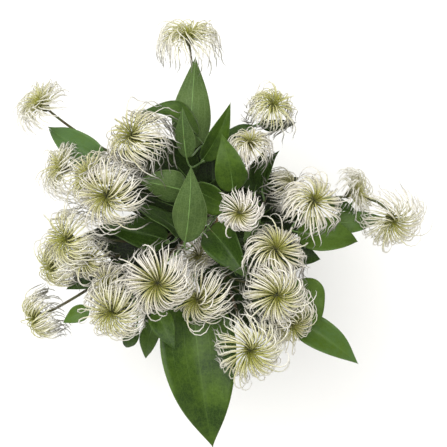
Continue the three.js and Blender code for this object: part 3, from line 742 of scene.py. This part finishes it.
# %% Leaf stalks
def leaf_stalk(leaf):
    """A tube from inside the stem's path to the blade's foot, and on along the underside, where
    its radius is 0.7 (1-u)^0.8 + 0.06 mm at the share u of the blade."""
    midrib, up = leaf_curves(leaf)
    path = PATHS[leaf.stem][leaf.path]
    start, foot = curve_point(path, leaf.at), midrib[0]
    reach = 0.35 * np.linalg.norm(foot - start)
    stalk = np.array([
        start,
        start + parting(path, leaf.at, foot) * reach,
        foot - curve_direction(midrib, 0) * reach,
        foot,
    ])
    u = np.linspace(0, 0.96, 22)
    tangent = curve_direction(midrib, u)
    normal = unit(np.cross(unit(np.cross(tangent, up)), tangent))
    under = curve_point(midrib, u) - normal * 0.25
    points = np.concatenate([curve_point(stalk, np.linspace(0, 1, 18))[:-1], under])
    below_blade = 0.7 * (1 - u) ** 0.8 + 0.06
    radii = np.concatenate([np.linspace(1.1, LEAF_STALK_RADIUS * 0.85, 17), below_blade])
    return loft(tube_rings(points, radii, 8)[None], finish=STALK)


# %% Leafy stems
for stem in range(RING_STEMS + 1):
    main = stem_tube(stem)
    cut_end = main.triangles[:, 0] == len(main.points) - 2
    parts = [main._replace(finish=np.where(cut_end, PITH, BARK))]
    parts += [shoot_tube(stem, path) for path in range(1, len(PATHS[stem]))]
    for number, leaf in enumerate(LEAVES):
        if leaf.stem == stem:
            parts += [blade(leaf, number), leaf_stalk(leaf)]
    make_piece(
        f"leafy_stem_{stem + 1:02d}_fine",
        parts,
        LEAFY_STEM_FINISHES,
        f"leafy_stem_{stem + 1:02d}",
    )


# %% [markdown]
# ## Seed heads
# After the petals fall, every seed keeps its style, which grows to several centimetres and turns
# silky. About a hundred of them spring from the core, arch outwards and curl back under the head.
# Hair particles would vanish in the exported model, so each style is a thin three-sided mesh tube
# and each hair a sliver with four faces. Both come in batches, one array for a whole head.

# %% Styles
STYLE_STEPS = 12
STRAY_SHARE = 0.1
random = np.random.default_rng(11)


def turn_to(direction):
    """The least rotation that carries +Z to a direction: I + K + K^2 / (1 + z), where K is the
    cross product with (-y, x, 0)."""
    x, y, z = direction
    k = np.array([[0, 0, x], [0, 0, y], [-x, -y, 0]])
    return np.eye(3) + k + k @ k / (1 + z)


def style_paths(head, count):
    """Points, directions and both sides of all the styles of a head. At the share s of its
    length a style makes the angle start + bend s^1.3 with the head's axis. Its azimuth is the one
    before and a golden angle, drawn into locks by 6 sin(5 a) + 3.8 sin(13 a) degrees; it turns by
    swirl s^1.4, where the swirl is 70 to 140 degrees, and past halfway by hook (s - 0.5)^1.5.
    One style in ten strays: it bends less, reaches further and ends in a tighter hook. The points
    are the running sum of the directions."""
    index = np.arange(count)
    share = (index + 0.5) / count
    azimuth = index * GOLDEN_ANGLE + head.bearing
    lock = 6 * np.sin(np.radians(5 * azimuth + 40 * head.size)) + random.normal(0, 1.6, count)
    lock = lock + 3.8 * np.sin(np.radians(13 * azimuth + 90 * head.size))
    start = (10 + 60 * share) * (0.6 + 0.4 * head.curl) + random.normal(0, 2, count)
    stray = random.uniform(0, 1, count) < STRAY_SHARE
    bend = (265 - 80 * share) * head.curl * random.uniform(0.94, 1.06, count)
    bend = bend * np.where(stray, 0.72, 1)
    reach = min(head.size, 64 + 0.6 * (head.size - 64))
    length = (0.4 + 0.42 * min(head.curl, 1)) * reach * random.uniform(0.8, 1.08, count)
    length = length * np.where(stray, 1.12, 1)
    swirl = 105 + 35 * np.sin(np.radians(azimuth + 70 * head.size)) + random.normal(0, 8, count)
    hook = random.normal(0.7, 0.35, count) * 260 * np.where(stray, 2.2, 1)

    def directions(s):
        polar = np.radians(start[:, None] + bend[:, None] * s**1.3)
        turned = swirl[:, None] * s**1.4 + hook[:, None] * np.maximum(s - 0.5, 0) ** 1.5
        around = np.radians(azimuth[:, None] + lock[:, None] * np.minimum(2 * s, 1) + turned)
        flat = np.stack([np.cos(around), np.sin(around), np.zeros_like(around)], -1)
        forward = flat * np.sin(polar)[..., None] + UPRIGHT * np.cos(polar)[..., None]
        return forward, np.cross(UPRIGHT, flat)

    turn = turn_to(facing(head)).T
    s = np.linspace(0, 1, STYLE_STEPS)[None]
    forward, side = directions(s)
    steps = directions((s[:, 1:] + s[:, :-1]) / 2)[0] * (length / (STYLE_STEPS - 1))[:, None, None]
    origin = forward[:, :1] * 0.3 * CORE_RADIUS
    points = np.concatenate([origin, origin + np.cumsum(steps, axis=1)], axis=1)
    forward, side = forward @ turn, side @ turn
    return points @ turn + np.array(head.centre), forward, side, np.cross(side, forward)


def buried_painted_shade(head):
    """The painted shade of a head that lies deep in the bunch, from 0 to 0.75. It is 0.75 low
    inner, where low goes from 0 at 272 mm above the table to 1 at 237 mm, and inner from 0 at 105
    mm from the axis to 1 at 50 mm."""
    x, y, z = head.centre
    low, inner = np.clip([(272 - z) / 35, (105 - np.hypot(x, y)) / 55], 0, 1)
    return 0.75 * low * inner


def underside_painted_shade(head, points):
    """The share of painted shade at a point, from 0 to 1: a smooth step in how far it lies on the
    underside of its head, by its depth below the head's centre along the head's axis in head
    sizes, from 0.04 to 0.24, and never less than the painted shade of a buried head."""
    depth = (np.array(head.centre) - points) @ facing(head) / head.size
    share = np.clip((depth - 0.04) / 0.2, 0, 1)
    return np.maximum(share**2 * (3 - 2 * share), buried_painted_shade(head))


def style_tubes(head, paths):
    """Three-sided rings with corners at (0.75 r cos a, 1.15 r sin a) on the style's two sides, so
    they are wider than thick. The radius r swells at the seed, narrows above it, is widest
    halfway with the silk, and runs out in a point."""
    points, forward, side, other = paths
    s = np.linspace(0, 1, STYLE_STEPS)
    places = [0, 0.08, 0.18, 0.45, 0.75, 0.92, 1]
    radius = np.interp(s, places, [0.28, 0.42, 0.28, 0.54, 0.54, 0.32, 0.07])[:, None, None]
    radius = radius * random.uniform(0.8, 1.15, len(points))[:, None, None, None]
    angle = 2 * pi * np.arange(3)[:, None] / 3
    spoke = other[:, :, None] * 0.75 * np.cos(angle) + side[:, :, None] * 1.15 * np.sin(angle)
    tones = np.clip(head.ripeness + random.normal(0, 0.12, len(points)), 0, 1)
    # The mark across carries the share of painted shade on the underside of the head.
    below = underside_painted_shade(head, points)[:, :, None]
    return loft(points[:, :, None] + spoke * radius, s[None, :, None], below, tones[:, None, None])


# %% Hairs
RIPE_HAIRS = 5
YOUNG_HAIRS = 24


def hairs(head, paths):
    """Slivers that leave a style at 6 to 20 degrees: three points round the root, one at the
    tip, four faces. Their place along the style lies between two of its points. In the photograph
    the young heads are downy and the ripe ones clean-lined: a young head has 24 hairs to a style
    here, and a ripe one 5, half as long."""
    points, forward, side, other = paths
    count = len(points)
    each = round(YOUNG_HAIRS + (RIPE_HAIRS - YOUNG_HAIRS) * head.ripeness)
    s = random.uniform(0.14, 0.97, (count, each))
    before = np.minimum((s * (STYLE_STEPS - 1)).astype(int), STYLE_STEPS - 2)
    part = (s * (STYLE_STEPS - 1) - before)[..., None]
    row = np.arange(count)[:, None]

    def between(values):
        return values[row, before] * (1 - part) + values[row, before + 1] * part

    angle = random.uniform(0, 2 * pi, s.shape)[..., None]
    spread = np.radians(random.uniform(6, 20, s.shape))[..., None]
    outwards = between(other) * np.cos(angle) + between(side) * np.sin(angle)
    aim = unit(between(forward) * np.cos(spread) + outwards * np.sin(spread))
    root = between(points) + outwards * 0.3
    length = random.uniform(1.8, 3.4, s.shape)[..., None] * (2 - head.ripeness)
    first = unit(np.cross(aim, outwards + 0.01))
    second = np.cross(aim, first)
    turn = 2 * pi * np.arange(3)[:, None] / 3
    spoke = first[..., None, :] * np.cos(turn) + second[..., None, :] * np.sin(turn)
    base = root[..., None, :] + 0.09 * spoke
    tip = (root + aim * length)[..., None, :]
    corners = np.concatenate([base, tip], axis=-2).reshape(-1, 4, 3)
    faces = np.array([[0, 1, 3], [1, 2, 3], [2, 0, 3], [2, 1, 0]])
    triangles = (faces + 4 * np.arange(len(corners))[:, None, None]).reshape(-1, 3)
    marks = np.empty(corners.shape)
    marks[..., 0] = np.clip(s + 0.15, 0, 1).reshape(-1, 1)
    # Painted shade on the hairs, as on their styles.
    marks[..., 1] = underside_painted_shade(head, root).reshape(-1, 1)
    marks[..., 2] = head.ripeness
    finish = np.full(len(triangles), SILK)
    return Part(corners.reshape(-1, 3), triangles, marks.reshape(-1, 3), finish)


# %% [markdown]
# The core is an egg of seeds on a narrow foot. Its rings are circles whose radius follows an
# arc, dented by two crossing spirals of seeds. A head carries 68 styles and 0.7 more for each
# millimetre of its size, so that large heads are as dense as small ones.

# %% Cores
def core(head):
    """Radius 0.8 R sin(pi h)^0.6, times 1 + 0.12 sin(8 a + 3 h) sin(5 a - 20 h), at the share h
    of the height and the angle a."""
    h = np.linspace(0.02, 0.98, 12)[:, None]
    angle = (2 * pi * np.arange(16) / 16)[None]
    seeds = 1 + 0.12 * np.sin(8 * angle + 3 * h) * np.sin(5 * angle - 20 * h)
    radius = 0.8 * CORE_RADIUS * np.sin(pi * h) ** 0.6 * seeds
    height = (h - 0.5) * CORE_HEIGHT + 0 * angle
    rings = np.stack([radius * np.cos(angle), radius * np.sin(angle), height], -1)
    rings = rings @ turn_to(facing(head)).T + np.array(head.centre)
    return loft(rings[None], finish=SEEDS)


for number, head in enumerate(HEADS, 1):
    count = int(68 + 0.7 * head.size)
    paths = style_paths(head, count)
    make_piece(
        f"seed_head_{number:02d}_fine",
        [core(head), style_tubes(head, paths), hairs(head, paths)],
        SEED_HEAD_FINISHES,
        f"seed_head_{number:02d}",
    )

# %% [markdown]
# ## Twine
# The tie is two plies twisted round each other and wound three times round the bunch. A ply is a
# tube whose path circles the middle line of the twine once every 6 mm. The ends are tucked in
# towards the stems, so the winding has no loose tail.

# %% Twine
TWIST_PITCH = 6
FUZZ_AIM = [(-0.8, 0.8), (0.3, 1), (-1, 1)]


def twine_line(angle):
    """The middle of the twine: a helix that climbs one thickness a turn, with both of its ends
    drawn in by 1.2 mm."""
    last = 2 * pi * TWINE_TURNS
    tuck = 1.2 * (np.exp(-angle / 0.12) + np.exp(-(last - angle) / 0.12))
    radius = TWINE_INNER_RADIUS + TWINE_RADIUS - tuck
    height = TIE_HEIGHT + 2 * TWINE_RADIUS * (TWINE_TURNS - 1) * (angle / last - 0.5)
    return np.stack([radius * np.cos(angle), radius * np.sin(angle), height], -1)


def ply(which):
    """A tube of radius 0.78 mm on a circle of 0.62 mm round the twine's middle line, half a turn
    from the other ply."""
    angle = np.linspace(0, 2 * pi * TWINE_TURNS, 480)[:, None]
    outwards = np.concatenate([np.cos(angle), np.sin(angle), 0 * angle], -1)
    travelled = angle * (TWINE_INNER_RADIUS + TWINE_RADIUS)
    twist = 2 * pi * travelled / TWIST_PITCH + which * pi
    points = twine_line(angle[:, 0]) + 0.62 * (outwards * np.cos(twist) + UPRIGHT * np.sin(twist))
    return loft(tube_rings(points, 0.78, 8)[None], tone=which)


def fuzz(count):
    """Broken fibres: three-sided slivers that leave the twine at random, 1 to 3 mm long."""
    angle = random.uniform(0, 2 * pi * TWINE_TURNS, count)
    root = twine_line(angle)
    outwards = np.stack([np.cos(angle), np.sin(angle), 0 * angle], -1)
    along = np.cross(UPRIGHT, outwards)
    lift, out, aside = [random.uniform(low, high, (count, 1)) for low, high in FUZZ_AIM]
    aim = unit(outwards * out + along * aside + UPRIGHT * lift)
    start = root + outwards * 1.1
    s = np.array([0, 0.5, 1])[None, :, None]
    points = start[:, None] + aim[:, None] * s * random.uniform(1, 3, (count, 1, 1))
    first = unit(np.cross(aim, [0.1, 0.2, 1.0]))
    second = np.cross(aim, first)
    turn = 2 * pi * np.arange(3)[:, None] / 3
    spoke = first[:, None] * np.cos(turn) + second[:, None] * np.sin(turn)
    radius = np.array([0.06, 0.05, 0.01])[None, :, None, None]
    return loft(points[:, :, None] + spoke[:, None] * radius, tone=1)


make_piece("twine_fine", [ply(0), ply(1), fuzz(160)], [twine_jute], "binding_twine")

# %% [markdown]
# ## Stage, light and camera
# The bunch stands on a plain white table and is seen from straight above. A big soft light hangs
# over it, a little to the upper left of the picture, a smaller one further out on that side gives
# the heads their shaded edges, and the room is bright on all sides.

# %% Floor and lights
floor_mesh = bpy.data.meshes.new("table")
floor_mesh.from_pydata([(-4, -4, 0), (4, -4, 0), (4, 4, 0), (-4, 4, 0)], [], [(0, 1, 2, 3)])
floor = bpy.data.objects.new("table", floor_mesh)
bpy.context.scene.collection.objects.link(floor)
table_white, _, _ = new_finish("table_white_laminate", Base_Color=linear("#f6f5f2"), Roughness=0.85)
floor_mesh.materials.append(table_white)


def soft_light(name, place, aim, size, power):
    """A square area light at a place, turned to face another."""
    data = bpy.data.lights.new(name, "AREA")
    data.size, data.energy = size, power
    lamp = bpy.data.objects.new(name, data)
    lamp.location = place
    lamp.rotation_euler = (Vector(aim) - Vector(place)).to_track_quat("-Z", "Y").to_euler()
    bpy.context.scene.collection.objects.link(lamp)


soft_light("overhead", (-0.15, 0.2, 2.3), (0, 0, 0.2), 2.4, 50)
soft_light("upper_left", (-1.1, 1.1, 1.9), (0, 0, 0.2), 1.4, 18)
world = bpy.data.worlds.new("bright_room")
world.use_nodes = True
world.node_tree.nodes["Background"].inputs["Color"].default_value = (1, 1, 1, 1)
world.node_tree.nodes["Background"].inputs["Strength"].default_value = 0.6
bpy.context.scene.world = world
bpy.context.scene.view_settings.view_transform = "Standard"

# %% [markdown]
# The camera hangs 1.45 m above the table and looks straight down. In the photograph one pixel is
# 0.9 mm at the height of the heads, 250 mm, which sets the angle of view: 447 pixels of 0.9 mm
# over a distance of 1.2 m.

# %% Camera
IMAGE_WIDTH = 447
MM_PER_PIXEL = 0.9
CAMERA_HEIGHT = 1450
HEAD_HEIGHT = 250
VIEW_CENTRE = 16.7, -1.4
SENSOR_WIDTH = 36

camera_data = bpy.data.cameras.new("camera")
camera_data.sensor_width = SENSOR_WIDTH
camera_data.lens = SENSOR_WIDTH * (CAMERA_HEIGHT - HEAD_HEIGHT) / (IMAGE_WIDTH * MM_PER_PIXEL)
camera = bpy.data.objects.new("camera", camera_data)
camera.location = np.array([*VIEW_CENTRE, CAMERA_HEIGHT]) * MM
bpy.context.scene.collection.objects.link(camera)
bpy.context.scene.camera = camera
print(f"lens {camera_data.lens:.1f} mm")
